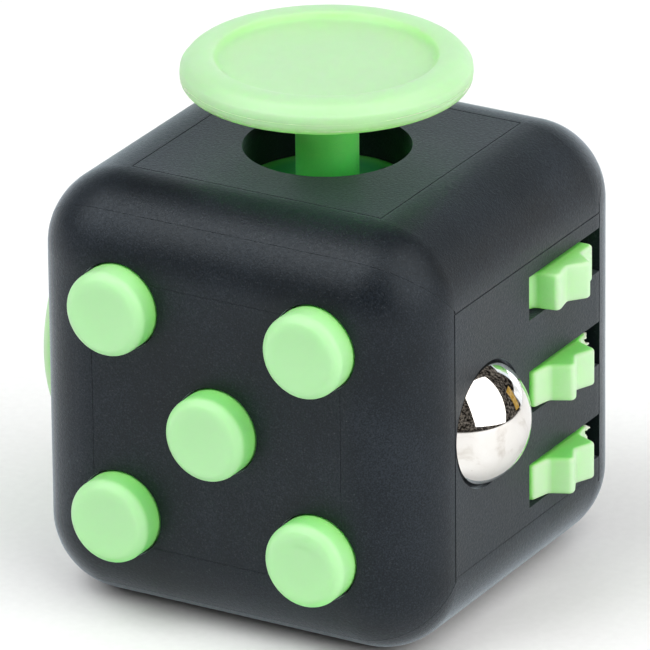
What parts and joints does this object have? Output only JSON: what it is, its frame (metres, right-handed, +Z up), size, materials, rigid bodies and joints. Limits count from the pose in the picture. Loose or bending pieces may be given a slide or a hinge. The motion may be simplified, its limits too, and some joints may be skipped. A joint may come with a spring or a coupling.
{
  "type": "fidget cube",
  "caption": "Palm-size desk toy cube with click buttons, gliding joystick, thumb gears, rolling ball, spin dial, flip rocker and thumb dish.",
  "frame": {"origin": "centre of the cube's bottom face, which is also the bottom centre of the whole part's box", "axes": "+Z up towards the joystick, -Y out of the button face, +X out of the gear and ball face, -X out of the dial face, +Y out of the rocker face"},
  "size_m": [0.0388, 0.0372, 0.0402],
  "materials": {
    "black_shell": "fine satin mould texture",
    "green_plastic": "satin translucent light green",
    "inner_plastic": "natural moulded",
    "silicone": "soft translucent",
    "spring_steel": "bright",
    "screw_steel": "zinc",
    "chrome_steel": "mirror"
  },
  "bodies": {
    "cube": {"shell_a": "black_shell", "shell_b": "black_shell", "button_plate": "inner_plastic", "button_plate_screws": "screw_steel", "snap_dome_top_left": "spring_steel", "snap_dome_centre": "spring_steel", "snap_dome_bottom_right": "spring_steel", "quiet_pad_top_right": "silicone", "quiet_pad_bottom_left": "silicone", "joystick_retainer": "inner_plastic", "retainer_screws": "screw_steel", "joystick_spring": "spring_steel", "gear_axle": "screw_steel", "gear_spacers": "inner_plastic", "gear_bracket": "inner_plastic", "gear_bracket_screws": "screw_steel", "ball_guide": "inner_plastic", "ball_guide_screws": "screw_steel", "ball_spring": "spring_steel", "rocker_pin": "screw_steel", "rocker_frame": "inner_plastic", "rocker_frame_screws": "screw_steel"},
    "button_top_left": {"button_top_left": "green_plastic"},
    "button_top_right": {"button_top_right": "green_plastic"},
    "button_centre": {"button_centre": "green_plastic"},
    "button_bottom_left": {"button_bottom_left": "green_plastic"},
    "button_bottom_right": {"button_bottom_right": "green_plastic"},
    "joystick_slider": {"slide_ring": "inner_plastic"},
    "joystick": {"joystick_cap": "green_plastic", "joystick_base": "green_plastic", "joystick_screw": "screw_steel"},
    "gear_upper": {"gear_upper": "green_plastic"},
    "gear_middle": {"gear_middle": "green_plastic"},
    "gear_lower": {"gear_lower": "green_plastic"},
    "ball_cup": {"ball_cup": "inner_plastic"},
    "ball": {"steel_ball": "chrome_steel"},
    "dial": {"spin_dial": "green_plastic", "dial_washer": "inner_plastic", "dial_screw": "screw_steel"},
    "rocker": {"rocker": "green_plastic", "rocker_plunger": "screw_steel", "rocker_spring": "spring_steel"}
  },
  "joints": [
    {"name": "button_top_left_press", "type": "slide", "parent": "cube", "child": "button_top_left", "axis": [0, 1, 0], "range_m": [0, 0.0008], "stiffness_N_per_m": 900, "springref_m": -0.0005, "deforming": ["snap_dome_top_left"]},
    {"name": "button_centre_press", "type": "slide", "parent": "cube", "child": "button_centre", "axis": [0, 1, 0], "range_m": [0, 0.0008], "stiffness_N_per_m": 900, "springref_m": -0.0005, "deforming": ["snap_dome_centre"]},
    {"name": "button_bottom_right_press", "type": "slide", "parent": "cube", "child": "button_bottom_right", "axis": [0, 1, 0], "range_m": [0, 0.0008], "stiffness_N_per_m": 900, "springref_m": -0.0005, "deforming": ["snap_dome_bottom_right"]},
    {"name": "button_top_right_press", "type": "slide", "parent": "cube", "child": "button_top_right", "axis": [0, 1, 0], "range_m": [0, 0.0008], "stiffness_N_per_m": 900, "springref_m": -0.0005, "deforming": ["quiet_pad_top_right"]},
    {"name": "button_bottom_left_press", "type": "slide", "parent": "cube", "child": "button_bottom_left", "axis": [0, 1, 0], "range_m": [0, 0.0008], "stiffness_N_per_m": 900, "springref_m": -0.0005, "deforming": ["quiet_pad_bottom_left"]},
    {"name": "joystick_slide_x", "type": "slide", "parent": "cube", "child": "joystick_slider", "axis": [1, 0, 0], "range_m": [-0.0025, 0.0025], "stiffness_N_per_m": 160, "deforming": ["joystick_spring"]},
    {"name": "joystick_slide_y", "type": "slide", "parent": "joystick_slider", "child": "joystick", "axis": [0, 1, 0], "range_m": [-0.0025, 0.0025], "stiffness_N_per_m": 160, "deforming": ["joystick_spring"]},
    {"name": "gear_upper_spin", "type": "hinge", "parent": "cube", "child": "gear_upper", "pos_m": [0.01375, 0.0053, 0.02395], "axis": [0, 0, 1], "continuous": true},
    {"name": "gear_middle_spin", "type": "hinge", "parent": "cube", "child": "gear_middle", "pos_m": [0.01375, 0.0053, 0.0165], "axis": [0, 0, 1], "continuous": true},
    {"name": "gear_lower_spin", "type": "hinge", "parent": "cube", "child": "gear_lower", "pos_m": [0.01375, 0.0053, 0.0091], "axis": [0, 0, 1], "continuous": true},
    {"name": "ball_press", "type": "slide", "parent": "cube", "child": "ball_cup", "axis": [-1, 0, 0], "range_m": [0, 0.0006], "stiffness_N_per_m": 1200, "springref_m": -0.0005, "deforming": ["ball_spring"]},
    {"name": "ball_roll", "type": "hinge", "parent": "ball_cup", "child": "ball", "pos_m": [0.01443, -0.00576, 0.0165], "axis": [0, 0, 1], "continuous": true},
    {"name": "dial_spin", "type": "hinge", "parent": "cube", "child": "dial", "pos_m": [-0.0165, 0, 0.0165], "axis": [-1, 0, 0], "continuous": true},
    {"name": "rocker_flip", "type": "hinge", "parent": "cube", "child": "rocker", "pos_m": [0, 0.0139, 0.0165], "axis": [1, 0, 0], "range_deg": [0, 20]}
  ]
}
